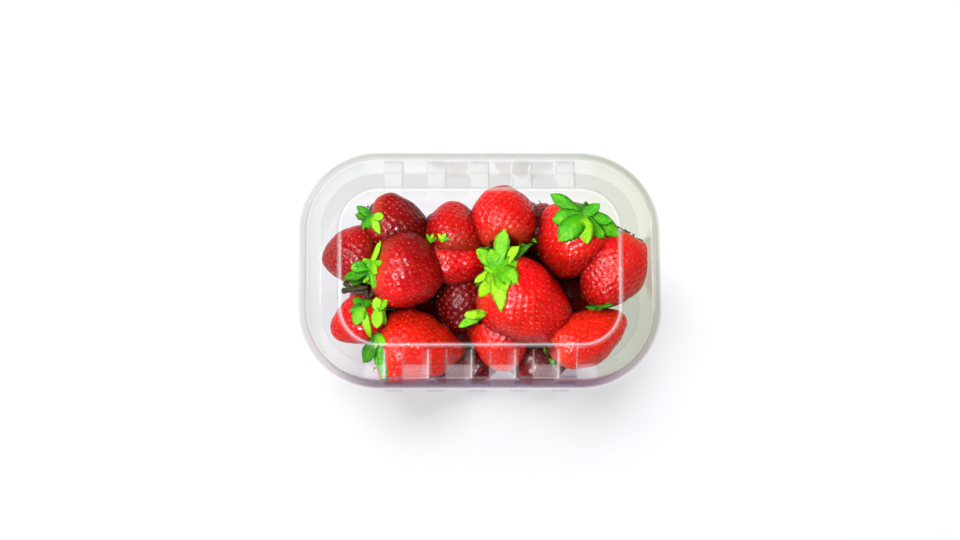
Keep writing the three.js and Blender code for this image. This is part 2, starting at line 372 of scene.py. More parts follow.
def floor_material():
    m = Mat("floor_paper")
    noise = m.n("ShaderNodeTexNoise", Scale=40.0, Detail=3.0)
    m.link(m.n("ShaderNodeTexCoord").outputs["Object"], noise.inputs["Vector"])
    base = m.ramp(noise.outputs[0], [(0.3, (0.40, 0.404, 0.412)), (0.7, (0.41, 0.414, 0.422))])
    p = m.n("ShaderNodeBsdfPrincipled")
    m.link(base, p.inputs["Base Color"])
    p.inputs["Roughness"].default_value = 0.9
    p.inputs["Specular IOR Level"].default_value = 0.1
    p.inputs["Emission Color"].default_value = (0.96, 0.975, 1.0, 1.0)   # a sheet lit softly from below
    p.inputs["Emission Strength"].default_value = 0.628
    m.link(p.outputs[0], m.out.inputs[0])
    return m.m


# ---------------------------------------------------------------------------------------
# meshes
# ---------------------------------------------------------------------------------------
def make_object(name, verts, faces, material, tint=None, smooth=True):
    me = bpy.data.meshes.new(name)
    me.from_pydata((np.asarray(verts) * MM).tolist(), [], faces)
    me.update()
    if tint is not None:
        a = me.attributes.new("tint", "FLOAT_COLOR", "POINT")
        rgba = np.ones((len(verts), 4), np.float32)
        rgba[:, :3] = tint[:, :3]
        a.data.foreach_set("color", rgba.ravel())
        if tint.shape[1] > 3:
            # painted shade: the fourth column becomes the 'open' colour that darkens the skin where little light
            # reaches
            a = me.attributes.new("open", "FLOAT_COLOR", "POINT")
            k = np.clip(tint[:, 3], 0, 1)
            rgba[:, 0] = DEEP[0] + (1 - DEEP[0]) * k ** DEEP[1]
            rgba[:, 1] = rgba[:, 2] = rgba[:, 0] ** 1.3
            a.data.foreach_set("color", rgba.ravel())
    if smooth:
        me.polygons.foreach_set("use_smooth", np.ones(len(me.polygons), bool))
    me.materials.append(material)
    o = bpy.data.objects.new(name, me)
    bpy.context.scene.collection.objects.link(o)
    return o


DEEP = (0.10, 1.1)   # how dark the skin gets where no light comes, and how fast


class Pile:
    """Gathers many small meshes into one."""

    def __init__(self):
        self.v, self.f, self.c, self.n = [], [], [], 0

    def add(self, verts, faces, tint):
        self.v.append(np.asarray(verts, float))
        tint = np.asarray(tint, float)
        self.c.append(np.broadcast_to(tint, (len(verts), tint.shape[-1])))
        off = self.n
        self.f.extend([tuple(int(i) + off for i in f) for f in faces])
        self.n += len(verts)

    def make(self, name, material):
        return make_object(name, np.vstack(self.v), self.f, material, np.vstack(self.c))


def even_normals(o):
    """Large flat faces keep their own normal, so that the small radii carry all of the curve."""
    mod = o.modifiers.new("even", "WEIGHTED_NORMAL")
    mod.weight = 100
    mod.keep_sharp = False


# ---- formed sheet ------------------------------------------------------------------------
def sm(t):
    return t * t * (3 - 2 * t)


def stations(bulges=True, corner=24):
    out = []

    def long_side(sign):
        xs = []
        for k in range(BULGES):
            c, h = (k - (BULGES - 1) / 2) * PITCH, BULGE_W / 2
            up = [(c - h - BULGE_STEP + BULGE_STEP * u, sm(u)) for u in (0, 0.2, 0.4, 0.6, 0.8, 1.0)]
            xs += up + [(c - h * 0.6, 1), (c, 1), (c + h * 0.6, 1)]
            xs += [(2 * c - x, b) for x, b in reversed(up)]
            if k < BULGES - 1:
                g = c + PITCH / 2
                xs += [(g - 1.6, 0), (g, 0), (g + 1.6, 0)]
        for x, b in xs if sign < 0 else xs[::-1]:
            out.append((x, sign * HY, 0.0, sign, b))

    def arc(sx, sy, start):
        for i in range(corner + 1):
            a = math.radians(start + 90 * i / corner)
            out.append((sx * HX, sy * HY, math.cos(a), math.sin(a), 0))

    if bulges:
        long_side(-1)
    arc(1, -1, 270)
    for u in (0.25, 0.5, 0.75):
        out.append((HX, -HY + 2 * HY * u, 1.0, 0.0, 0))
    arc(1, 1, 0)
    if bulges:
        long_side(1)
    arc(-1, 1, 90)
    for u in (0.25, 0.5, 0.75):
        out.append((-HX, HY - 2 * HY * u, -1.0, 0.0, 0))
    arc(-1, -1, 180)
    return np.array(out, float)


def fillet(points, radius, steps=4):
    """Rounds each inner corner of an open path of (inset, z), with the same count for any shape."""
    p = [np.array(q, float) for q in points]
    r = radius if hasattr(radius, "__len__") else [radius] * len(p)
    out = [p[0]]
    for i in range(1, len(p) - 1):
        a, b, c = p[i - 1], p[i], p[i + 1]
        la, lc = np.linalg.norm(a - b), np.linalg.norm(c - b)
        d = min(r[i], 0.46 * la, 0.46 * lc)
        s, e = b + (a - b) / la * d, b + (c - b) / lc * d
        for k in range(steps + 1):
            t = k / steps
            out.append((1 - t) ** 2 * s + 2 * t * (1 - t) * b + t * t * e)
    out.append(p[-1])
    return np.array(out)


def loft(st, flat0, flat1, path0, path1, sag=None):
    """A closed skin through the path (b = 0 and b = 1 forms), closed by flat middles."""
    n = len(st)
    rings = []
    for q0, q1 in zip(path0, path1):
        q = q0[None, :] * (1 - st[:, 4:5]) + q1[None, :] * st[:, 4:5]
        r = CORNER_R - q[:, 0]
        rings.append(np.c_[st[:, 0] + st[:, 2] * r, st[:, 1] + st[:, 3] * r, q[:, 1]])
    shrink = (0.88, 0.74, 0.58, 0.40, 0.2)
    inner0 = [np.c_[rings[0][:, :2] * s, rings[0][:, 2]] for s in reversed(shrink)]
    inner1 = [np.c_[rings[-1][:, :2] * s, rings[-1][:, 2]] for s in shrink]
    rings = inner0 + rings + inner1
    if sag is not None:
        for k, ring in enumerate(rings):
            ring[:, 2] += sag(ring)
    verts = np.vstack([[[0, 0, rings[0][0, 2]]], *rings, [[0, 0, rings[-1][0, 2]]]])
    faces = []
    last = len(verts) - 1
    for i in range(n):
        j = (i + 1) % n
        faces.append((0, 1 + j, 1 + i))
        for k in range(len(rings) - 1):
            a = 1 + k * n
            faces.append((a + i, a + j, a + n + j, a + n + i))
        e = 1 + (len(rings) - 1) * n
        faces.append((e + i, e + j, last))
    return verts, faces


def tray_mesh():
    F = TRAY_F

    def path(b):
        fl = lambda i, z: [i - b * FLUTE, z]
        return [
            [17.0, 1.0], [16.0, 0], [8.8, 0], [7.3, 1.2], fl(6.6, 5.0),
            fl(5.8, 14.625), fl(5.0, 24.25), fl(4.2, 33.875), fl(3.4, F - 4.5),
            [3.1, F - SHEET], [2.3, F - 0.3], [1.9, F + 0.6], [1.4, F + 0.6], [1.35, F - 2.8],
            [0.85, F - 2.8], [0.9, F + 0.8], [1.3, F + 1.2], [2.3, F + 1.2], [2.7, F + 0.3],
            [3.6, F - 0.1], fl(3.9, F - 4.5), fl(4.7, 33.925), fl(5.5, 24.35), fl(6.3, 14.775),
            fl(7.1, 5.2), [7.7, 1.5], [9.0, SHEET], [15.8, SHEET], [16.8, 1.0 + SHEET],
        ]

    r = [1.0] * 29
    return loft(stations(), None, None, fillet(path(0), r), fillet(path(1), r))


def lid_mesh():
    P, F, t = PANEL, LID_F, SHEET

    def path(b):
        slope = lambda d: [WALL_FOOT, (F + 3.2 if b else F + 0.5) - d]
        shelf = lambda d: [BULGE_EDGE + 0.8 + d, F + 2.4 - d] if b else [WALL_FOOT - 1.1, F - d]
        foot = lambda d: [BULGE_EDGE + d * 1.1, F + 0.1 - d * 0.9] if b else [BULGE_EDGE + 0.6 + d, F - d]
        top = [
            [PANEL_INSET + 1.4, P], [PANEL_INSET + 0.7, P + RIDGE], [PANEL_INSET - 0.6, P + RIDGE],
            [PANEL_INSET - 1.2, P - 0.5], slope(0), shelf(0), foot(0),
            [3.1, F + 0.2], [2.8, F + 1.3], [0.9, F + 1.3], [0.1, F + 0.4], [0, F - 4.6],
        ]
        under = [
            [t, F - 4.6], [t + 0.05, F + 0.2], [1.1, F + 0.8], [2.5, F + 0.8], [2.95, F - 0.2],
            foot(t), shelf(t), slope(t + 0.1),
            [PANEL_INSET - 0.9, P - 1.1], [PANEL_INSET - 0.4, P + RIDGE - t],
            [PANEL_INSET + 0.5, P + RIDGE - t], [PANEL_INSET + 1.2, P - t],
        ]
        return (top + under)[::-1]

    def sag(v):
        inside = np.clip((31.0 - np.hypot(np.maximum(np.abs(v[:, 0]) - 26, 0), np.maximum(np.abs(v[:, 1]) - 2, 0))) / 12, 0, 1)
        w = 0.16 * np.sin(v[:, 0] / 9.5 + 0.6) * np.cos(v[:, 1] / 8.0 - 0.4) - 0.22
        return np.where(v[:, 2] > PANEL - 1.5, w * inside, 0.0)

    r = [0.9] * 24
    return loft(stations(), None, None, fillet(path(0), r), fillet(path(1), r), sag)


def marks(v, lid):
    """Per point: painted highlight, greenish painted shade, and painted shade of the sheet."""
    x, z = v[:, 0], v[:, 2]
    qx, qy = np.maximum(np.abs(x) - HX, 0), np.maximum(np.abs(v[:, 1]) - HY, 0)
    inset = CORNER_R - np.hypot(qx, qy)
    bump = lambda u, w: np.exp(-(u / w) ** 2)
    span = lambda u, a, b, soft: np.clip((u - a) / soft, 0, 1) * np.clip((b - u) / soft, 0, 1)
    painted_glint = np.zeros(len(v))
    if lid:
        # painted highlights: bright on the left side of each bulge, faint on the right, along the ridge, the shelf and
        # the fold lines
        long_side = (np.abs(x) < 45) & (np.abs(v[:, 1]) > HY)
        painted_glint += 0.17 * bump(inset - PANEL_INSET, 0.55) * (z > PANEL + 0.1)
        between = np.ones(len(v))
        for k in range(BULGES):
            c, h = (k - (BULGES - 1) / 2) * PITCH, BULGE_W / 2 + BULGE_STEP / 2
            on = span(inset, BULGE_EDGE + 0.2, PANEL_INSET - 1.4, 0.6) * long_side
            painted_glint += 0.24 * bump(x - (c - h), 0.36) * on
            painted_glint += 0.05 * bump(x - (c + h), 0.36) * on
            between *= 1 - np.clip((h + 0.3 - np.abs(x - c)) / 0.3, 0, 1)
        near = (z < LID_F + 0.9) & (z > LID_F - 0.9)
        flat = span(inset, BULGE_EDGE + 0.9, WALL_FOOT - 0.4, 0.5) * near
        painted_glint += flat * np.where(long_side, 0.075 * between, 0.0)
        painted_glint += 0.15 * bump(inset - BULGE_EDGE - 0.6, 0.4) * near * long_side
        painted_glint += 0.08 * bump(inset - WALL_FOOT + 0.2, 0.4) * (z < LID_F + 1.2) * long_side * between
    # painted shade: greenish and darker towards the right end
    green_shade = np.clip((x - 34) / 26, 0, 1) * np.clip((inset + 1) / 2, 0, 1) * np.clip((24 - inset) / 8, 0, 1)
    # painted shade: the rolled rim is tinted darker, partly for its double sheet and more towards the right end and the
    # front, where it also gets a painted lavender reflection of the fruit
    front = np.clip((-v[:, 1] - HY - 4) / 8, 0, 1) * np.clip((56 - np.abs(x)) / 14, 0, 1)
    side = 0.27 + 0.17 * np.clip((x - 30) / 30, 0, 1) + 0.58 * front - 0.10 * np.clip((v[:, 1] - 20) / 10, 0, 1)
    painted_shade = side * np.clip((3.4 + 1.6 * front - inset) / 0.8, 0, 1) * (z > 36)
    if lid:
        # painted shade: dark lines along the folds and the ridge
        painted_shade += 0.16 * bump(inset - BULGE_EDGE - 0.8, 0.5) + 0.20 * bump(inset - WALL_FOOT, 0.5)
        painted_shade += 0.12 * bump(inset - PANEL_INSET + 1.3, 0.35) * (v[:, 1] > 0)
        painted_shade = np.clip(painted_shade, 0, 1)
        painted_glint = painted_glint * np.where(v[:, 1] > 10, 0.45, 1.0)
    if not lid:
        rim = painted_shade
        # painted shade: the lower front wall and the front of the base are tinted darker and lavender where the fruit
        # shades the floor seen through them
        painted_shade = (np.clip((22 - z) / 8, 0, 1) * np.clip((z - 0.2) / 1.5, 0, 1) * np.clip((50 - np.abs(x)) / 10, 0, 1)
                 * (v[:, 1] < 0) * np.clip((9.5 - inset) / 1.0, 0, 1))
        foot = ((z < 2.2) * np.clip((16.6 - inset) / 0.5, 0, 1) * np.clip((inset - 7.5) / 1.0, 0, 1)
                * (v[:, 1] < -20) * np.clip((x + 38) / 8, 0, 1) * np.clip((50 - x) / 10, 0, 1))
        painted_shade = np.clip(painted_shade * 1.2 + rim + foot, 0, 1.2)
    return np.c_[np.clip(painted_glint, 0, 0.8), green_shade, painted_shade]


def room(v):
    """Keeps points inside the shut pack: off the tray's wall and base and under the lid."""
    v = v.copy()
    qx, qy = np.maximum(np.abs(v[:, 0]) - HX, 0), np.maximum(np.abs(v[:, 1]) - HY, 0)
    r = np.hypot(qx, qy)
    z = np.clip(v[:, 2], 1.9, PANEL - SHEET - 0.75)
    inset = np.interp(z, [1.0, 1.9, 5.2, TRAY_F - 4.5, TRAY_F - 0.3, TRAY_F + 0.4, PANEL - 1.8, PANEL - 0.9],
                      [9.0, 8.0, 7.4, 4.2, 4.35, WALL_FOOT + 0.6, PANEL_INSET - 0.6, PANEL_INSET + 1.5])
    limit = CORNER_R - inset
    k = np.where(r > limit, limit / np.maximum(r, 1e-9), 1.0)
    ex, ey = qx * k, qy * k
    v[:, 0] = np.where(np.abs(v[:, 0]) > HX, np.sign(v[:, 0]) * (HX + ex), v[:, 0])
    v[:, 1] = np.where(np.abs(v[:, 1]) > HY, np.sign(v[:, 1]) * (HY + ey), v[:, 1])
    v[:, 2] = z
    return v


# ---- strawberries ------------------------------------------------------------------------
# name, centre, length, diameter, bearing and rise of the tip, then tone (0 dark crimson to
# 1 orange red), where the shoulder lies, how blunt it is, bend, lumpiness
BERRIES = [
    ("D", -27.8, 1.9, 35.2, 28.5, 32.6, -14, -8, 0.44, 0.66, 0.5, 0.0, 0.03),
    ("E", -23.4, -27.9, 22.5, 36.0, 33.0, 2, -4, 0.95, 0.56, 0.62, 1.2, 0.03),
    ("M", 19.8, -11.3, 34.0, 40.5, 33.0, -33, -12, 0.66, 0.66, 0.48, 0.0, 0.035),
    ("I", 37.8, 13.4, 34.2, 30.5, 31.6, -118, -30, 0.7, 0.64, 0.5, 0.0, 0.025),
    ("J", 53.7, 2.7, 34.5, 33.0, 26.8, 240, -8, 0.6, 0.78, 0.46, 0.0, 0.03),
    ("O", 43.8, -22.8, 30.0, 34.0, 22.8, 24, -8, 0.88, 0.68, 0.5, -1.0, 0.04),
    ("N", 9.8, -22.6, 19.0, 26.0, 27.0, -84, -12, 0.84, 0.66, 0.48, 0.0, 0.03),
    ("L", -6.3, -8.0, 20.0, 26.0, 24.0, -100, -10, 0.16, 0.66, 0.52, 0.0, 0.03),
    ("K", -5.7, 7.9, 31.0, 30.0, 21.5, 0, -10, 0.5, 0.62, 0.54, 0.0, 0.035),
    ("F", -9.8, 18.7, 34.0, 24.0, 23.4, 98, -20, 0.56, 0.72, 0.43, 0.0, 0.025),
    ("G", 9.8, 24.0, 37.2, 27.0, 26.4, 93, -22, 0.62, 0.74, 0.47, 0.0, 0.025),
    ("H", 25.5, 21.9, 29.0, 20, 19.0, 70, -15, 0.3, 0.66, 0.5, 0.0, 0.03),
    ("A", -32.0, 20.8, 33.0, 27.0, 23.6, -18, -12, 0.22, 0.68, 0.48, 0.0, 0.03),
    ("B", -50.9, 9.3, 30.0, 23.5, 24.4, 180, -14, 0.3, 0.66, 0.49, 0.0, 0.03),
    ("C", -48.6, -17.2, 29.0, 22.5, 19.8, 202, -12, 0.6, 0.66, 0.5, 0.0, 0.03),
    ("P1", -26.5, 17.4, 13.3, 26, 22, 20, 4, 0.5, 0.64, 0.52, 0, 0.03),
    ("P2", -41.1, -12.8, 12.6, 24, 21, -80, -2, 0.5, 0.64, 0.52, 0, 0.03),
    ("P3", 21.8, 0.7, 11.5, 22, 18.5, 120, 0, 0.35, 0.64, 0.52, 0, 0.03),
    ("P4", 50.5, 14.5, 13.4, 25, 23, 15, 4, 0.6, 0.64, 0.52, 0, 0.03),
    ("P5", 41.1, -15.9, 13.1, 26, 22, 60, 0, 0.5, 0.64, 0.52, 0, 0.03),
    ("P6", 3.8, 15.6, 12.2, 22, 20, 170, -3, 0.4, 0.64, 0.52, 0, 0.03),
    ("P7", -41.2, -1.3, 13.3, 22, 21, 90, 5, 0.4, 0.64, 0.52, 0, 0.03),
    ("P9", 51.3, 0.7, 11.3, 20, 17, 30, 0, 0.5, 0.64, 0.52, 0, 0.03),
    ("P10", -19.1, 0.2, 11.6, 22, 19, 30, 0, 0.25, 0.64, 0.52, 0, 0.03),
    ("P11", -45.3, 15.7, 11.4, 20, 18, 100, 0, 0.45, 0.64, 0.52, 0, 0.03),
    # painted shade: P12 to P15 are added nearly black red at the front, to darken the gaps
    ("P12", -13.9, -29.1, 11.0, 24, 19, 165, 0, 0.05, 0.64, 0.52, 0, 0.03),
    ("P13", 27.1, -30.0, 11.5, 24, 19, 10, 0, 0.05, 0.64, 0.52, 0, 0.03),
    ("P14", 2.4, -30.7, 8.5, 17, 13.5, 20, 0, 0.05, 0.64, 0.52, 0, 0.03),
    ("P15", 18.7, -30.7, 8.5, 17, 13.5, 160, 0, 0.05, 0.64, 0.52, 0, 0.03),
    ("P16", -11.5, 25.5, 10.6, 22, 17, 175, 0, 0.5, 0.64, 0.52, 0, 0.03),
    ("P17", 17, 27.3, 11, 20, 17.5, -175, 0, 0.5, 0.64, 0.52, 0, 0.03),
    ("P18", 33, 23.6, 10.4, 18, 16.5, -5, 0, 0.5, 0.64, 0.52, 0, 0.03),
    ("P19", 37.6, 0.2, 11, 19, 17, 90, 0, 0.35, 0.64, 0.52, 0, 0.03),
    ("P20", -6.2, -19.3, 9.2, 17, 14.2, 30, 0, 0.35, 0.64, 0.52, 0, 0.03),
]


# painted shade: how light each berry's skin is painted, and towards which side (x, y) and how much more it is painted
# darker
PAINTED_SKIN_SHADE = {
    "A": (0.65, 0.9, -0.3, 0.92), "B": (0.60, -0.2, -0.8, 0.20), "C": (0.80, -0.4, -0.6, 0.15),
    "D": (0.92, 0.55, 0.85, 0.74), "E": (0.88, 0.9, -0.35, 0.36), "F": (0.68, 0.5, -0.9, 0.30),
    "G": (0.90, 0.7, -0.5, 0.30), "H": (0.48, 0.4, -0.8, 0.20), "I": (1.0, 0.5, -0.85, 0.30),
    "J": (0.86, -0.3, -0.95, 0.25), "K": (1.0, -0.9, -0.2, 0.12), "L": (0.42, -0.9, -0.3, 0.55),
    "M": (1.0, 0.35, -0.93, 0.38), "N": (0.92, 0.2, -0.95, 0.20), "O": (0.83, 0.2, -0.95, 0.12),
    "P12": (0.20, 0, 0, 0), "P13": (0.20, 0, 0, 0), "P14": (0.12, 0, 0, 0), "P15": (0.12, 0, 0, 0),
    "P19": (0.10, 0, 0, 0), "P20": (0.12, 0, 0, 0),
}


class Berry:
    def __init__(self, row, index):
        (self.name, x, y, z, self.L, self.D, az, el, self.tone, self.sh, self.bl,
         self.bend, self.lump) = row
        self.c = np.array([x, y, z], float)
        self.dim, dx, dy, self.dark = PAINTED_SKIN_SHADE.get(self.name, (0.17, 0.0, 0.0, 0.0))
        self.dark_to = np.array([dx, dy, 0.0])
        a, e = math.radians(az), math.radians(el)
        self.a = np.array([math.cos(e) * math.cos(a), math.cos(e) * math.sin(a), math.sin(e)])
        self.e1 = unit(np.cross([0, 0, 1], self.a))
        self.e2 = np.cross(self.a, self.e1)
        self.rng = np.random.default_rng(1000 + index)
        self.ph = self.rng.uniform(0, 2 * math.pi, 8)
        # slow swellings: waves in space with fixed random directions
        k = self.rng.normal(size=(9, 3))
        k /= np.linalg.norm(k, axis=1)[:, None]
        self.waves = k * (2 * math.pi / self.rng.uniform(7.0, 16.0, 9))[:, None]
        self.wph = self.rng.uniform(0, 2 * math.pi, 9)
        # arc length table of the profile
        t = np.linspace(0, 1, 600)
        r = self.radius(t)
        s = np.r_[0, np.cumsum(np.hypot(np.diff(t) * self.L, np.diff(r)))]
        self.tab_t, self.tab_s = t, s
        area = np.r_[0, np.cumsum((r[1:] + r[:-1]) / 2 * np.diff(s))]
        self.tab_area = area / area[-1]

    def radius(self, t):
        s = np.maximum(np.sin(math.pi * np.clip(t, 0, 1) ** self.sh), 0)
        return self.D / 2 * s ** self.bl

    def surface(self, t, phi):
        """Point of the smooth berry at t (0 stalk, 1 tip) and angle phi."""
        t, phi = np.asarray(t, float), np.asarray(phi, float)
        p = self.ph
        w = (0.55 * np.cos(2 * phi + p[0]) + 0.45 * np.cos(3 * phi + p[1] + 1.5 * t)
             + 0.6 * np.cos(phi + p[2]) * np.sin(math.pi * t) + 0.3 * np.cos(5 * phi + p[3] - 3 * t))
        r = self.radius(t) * (1 + self.lump * w)
        r0 = self.radius(t)
        ax = (t - 0.5) * self.L
        ax = ax + np.where(t < 0.3, 1.9 * np.exp(-(r0 / (0.17 * self.D)) ** 2), 0)   # dimple round the stalk
        off = self.bend * np.sin(math.pi * t) ** 2
        return (self.c + ax[..., None] * self.a
                + (r * np.cos(phi) + off)[..., None] * self.e1
                + (r * np.sin(phi))[..., None] * self.e2)

    def normal(self, t, phi):
        h = 1e-3
        t0, t1 = np.clip(t - h, 1e-4, 1), np.clip(t + h, 0, 1 - 1e-4)
        dt = self.surface(t1, phi) - self.surface(t0, phi)
        dp = self.surface(t, phi + h) - self.surface(t, phi - h)
        n = np.cross(dp, dt)
        n /= np.maximum(np.linalg.norm(n, axis=-1, keepdims=True), 1e-12)
        mid = self.c + (np.asarray(t) - 0.5)[..., None] * self.L * self.a
        flip = np.sum(n * (self.surface(t, phi) - mid), axis=-1) < 0
        return np.where(flip[..., None], -n, n)

    def seeds(self, spacing):
        s_area = 2 * math.pi * np.trapezoid(self.radius(self.tab_t), self.tab_s) if hasattr(np, "trapezoid") else 2 * math.pi * np.trapz(self.radius(self.tab_t), self.tab_s)
        n = int(s_area / (spacing * spacing * 0.9))
        k = np.arange(n)
        u = (k + 0.5) / n + self.rng.uniform(-0.25, 0.25, n) / n
        t = np.interp(u, self.tab_area, self.tab_t)
        phi = k * 2.399963 + self.ph[4] + self.rng.normal(0, 0.03, n)
        keep = (t > 0.045) & (t < 0.985)
        return t[keep], phi[keep]

    GT, GP = 22, 32

    def grid(self):
        """Coarse grid of surface points and normals, for how open to the light the skin is."""
        total = self.tab_s[-1]
        t = np.interp(np.linspace(0.02, 0.98, self.GT) * total, self.tab_s, self.tab_t)
        phi = np.arange(self.GP) * 2 * math.pi / self.GP
        T, PH = np.meshgrid(t, phi, indexing="ij")
        return room(self.surface(T.ravel(), PH.ravel())), self.normal(T.ravel(), PH.ravel())

    def measure_open(self, tree, dirs):
        p, n = self.grid()
        up = np.array([0.0, 0.0, 1.0])
        out = np.zeros(len(p))
        for i in range(len(p)):
            a = unit(np.cross(n[i], [0.31, 0.87, 0.12]))
            b = np.cross(n[i], a)
            o = Vector(p[i] + n[i] * 1.1)
            free = 0.0
            for d in dirs:
                w = a * d[0] + b * d[1] + n[i] * d[2]
                if tree.ray_cast(o, Vector(w), 26.0)[0] is None:
                    free += 1.0
            out[i] = free / len(dirs)
        g = out.reshape(self.GT, self.GP)
        g = (np.roll(g, 1, 1) + 2 * g + np.roll(g, -1, 1)) / 4
        if self.name not in ("A", "B", "C", "D", "E", "M"):
            g[:5] = np.maximum(g[:5], g[5] * np.array([[0.55], [0.62], [0.72], [0.85], [0.95]]))
        self.open_grid = g

    def openness(self, T, PH):
        if not hasattr(self, "open_grid"):
            return np.ones(len(T))
        s = np.interp(T, self.tab_t, self.tab_s) / self.tab_s[-1]
        i = np.clip((s - 0.02) / 0.96 * (self.GT - 1), 0, self.GT - 1.001)
        j = (PH / (2 * math.pi) * self.GP) % self.GP
        i0, j0 = i.astype(int), j.astype(int) % self.GP
        fi, fj = i - i0, j - np.floor(j)
        j1 = (j0 + 1) % self.GP
        g = self.open_grid
        return ((g[i0, j0] * (1 - fj) + g[i0, j1] * fj) * (1 - fi)
                + (g[i0 + 1, j0] * (1 - fj) + g[i0 + 1, j1] * fj) * fi)

    def outward(self, v, n):
        """1 where the skin faces the nearest wall of the tray or the base, 0 where it faces up or in."""
        cx = np.clip((np.abs(v[:, 0]) - 34) / 12, 0, 1)
        cy = np.clip((np.abs(v[:, 1]) - 16) / 10, 0, 1)
        h = np.maximum(n[:, 0] * np.sign(v[:, 0]) * cx, n[:, 1] * np.sign(v[:, 1]) * cy)
        k = np.clip((h - 0.10) / 0.45, 0, 1) * np.clip((0.62 - n[:, 2]) / 0.5, 0, 1)
        return k * k * (3 - 2 * k)

    def mesh(self, res, pits=True):
        total = self.tab_s[-1]
        nv = max(8, int(round(total / res)))
        nu = max(12, int(round(math.pi * self.D / res)))
        t = np.interp(np.linspace(0, total, nv + 1)[1:-1], self.tab_s, self.tab_t)
        phi = np.arange(nu) * 2 * math.pi / nu
        T, PH = np.meshgrid(t, phi, indexing="ij")
        T, PH = T.ravel(), PH.ravel()
        T = np.r_[0.0, T, 1.0]
        PH = np.r_[0.0, PH, 0.0]
        v = self.surface(T, PH)
        n = self.normal(T, PH)
        n[0], n[-1] = -self.a, self.a
        swell = np.sin(v @ self.waves.T + self.wph).mean(axis=1)
        d = swell * 0.9
        pit = np.zeros(len(v))
        if pits:
            st, sp = self.seeds(2.75)
            sv = self.surface(st, sp)
            best = np.full(len(v), 1e9)
            for i in range(0, len(v), 4000):
                q = v[i:i + 4000]
                best[i:i + 4000] = np.sqrt(((q[:, None, :] - sv[None]) ** 2).sum(-1).min(1))
            pit = np.exp(-(best / 0.78) ** 2)
            d = d - 0.44 * pit + 0.09 * np.exp(-((best - 1.4) / 0.5) ** 2)
        v = v + n * d[:, None]
        v = room(v)
        tone = np.clip(self.tone + 0.10 * np.sin(2 * PH + self.ph[5]) * np.sin(math.pi * T)
                       + 0.10 * (T - 0.5) * self.ph[6] / 3.0, 0, 1)
        lean = np.clip(0.5 + (v - self.c) @ self.dark_to / self.D, 0, 1)
        lean = lean * lean * (3 - 2 * lean)
        # painted shade: the skin is darkened by how open it is to the light, by the berry's dim and towards its shaded
        # side; the lower berries are painted dark except where they face a wall
        dim = self.dim
        if self.name[0] == "P":
            dim = dim + (0.74 - dim) * self.outward(v, n)
        tint = np.c_[tone, T, pit, self.openness(T, PH) * dim * (1 - self.dark * lean)]
        faces = []
        idx = (1 + np.arange((nv - 1) * nu)).reshape(nv - 1, nu)
        a = idx[:-1]
        b = idx[1:]
        a2, b2 = np.roll(a, -1, 1), np.roll(b, -1, 1)
        faces = np.stack([a.ravel(), a2.ravel(), b2.ravel(), b.ravel()], 1).tolist()
        faces += [(0, int(idx[0][(i + 1) % nu]), int(idx[0][i])) for i in range(nu)]
        e = len(v) - 1
        faces += [(e, int(idx[-1][i]), int(idx[-1][(i + 1) % nu])) for i in range(nu)]
        return v, faces, tint

    def add_seeds(self, pile, low=False):
        st, sp = self.seeds(2.75)
        p, n = self.surface(st, sp), self.normal(st, sp)
        swell = np.sin(p @ self.waves.T + self.wph).mean(axis=1) * 0.9
        p = p + n * (swell - 0.36)[:, None]
        inside = room(p)
        p = np.where(np.linalg.norm(inside - p, axis=1)[:, None] > 1e-6, inside - n * 0.1, p)
        # painted shade: the seeds take the same painted darkening as the skin
        dim = self.dim
        if self.name[0] == "P":
            dim = dim + (0.74 - dim) * self.outward(p, n)
        lean = np.clip(0.5 + (p - self.c) @ self.dark_to / self.D, 0, 1)
        light = self.openness(st, sp) * dim * (1 - self.dark * lean * lean * (3 - 2 * lean))
        light = np.clip(light * 1.05 + 0.02, 0, 1)
        rng = np.random.default_rng(77)
        rows, around = (3, 4) if low else (4, 6)
        for i in range(len(p)):
            nn = n[i]
            along = unit(self.a - nn * np.dot(self.a, nn))
            side = np.cross(nn, along)
            L, W, H = 0.66 * rng.uniform(0.8, 1.15), 0.40 * rng.uniform(0.85, 1.15), 0.30
            vs = [p[i] - along * L]
            for r in range(1, rows):
                u = -math.cos(math.pi * r / rows)
                s = math.sin(math.pi * r / rows) * (1.0 - 0.25 * u)
                for q in range(around):
                    f = 2 * math.pi * q / around
                    vs.append(p[i] + along * L * u + side * (W * s * math.cos(f)) + nn * (H * s * math.sin(f)))
            vs.append(p[i] + along * L)
            fs = []
            for q in range(around):
                q2 = (q + 1) % around
                fs.append((0, 1 + q2, 1 + q))
                for r in range(rows - 2):
                    o = 1 + r * around
                    fs.append((o + q, o + q2, o + around + q2, o + around + q))
                o = 1 + (rows - 2) * around
                fs.append((o + q, o + q2, len(vs) - 1))
            pile.add(vs, fs, (0.5, light[i], rng.uniform(0.1, 0.9)))

    def pole(self):
        return self.surface(np.array([0.0]), np.array([0.0]))[0]


berries = {row[0]: Berry(row, i) for i, row in enumerate(BERRIES)}
shown = [r[0] for r in BERRIES[:15]]
under = [r[0] for r in BERRIES[15:]]

mat_flesh, mat_seed, mat_leaf, mat_core = flesh_material(), seed_material(), leaf_material(), core_material()
mat_stalk = stalk_material()
RES = 0.52

# a coarse copy of the heap, to lay leaves on and to see how open each patch of skin is
heap_v, heap_f = [], []
off = 0
for nme in shown + under:
    v, f, c = berries[nme].mesh(1.6, pits=False)
    heap_v.append(v)
    heap_f += [tuple(int(i) + off for i in q) for q in f]
    off += len(v)
heap = BVHTree.FromPolygons([tuple(p) for p in np.vstack(heap_v)], heap_f)

k = np.arange(26)
_z = np.sqrt(1 - (k + 0.5) / 26)
_r = np.sqrt(1 - _z ** 2)
DIRS = np.c_[_r * np.cos(k * 2.399963), _r * np.sin(k * 2.399963), _z]
for nme in shown + under:
    berries[nme].measure_open(heap, DIRS)

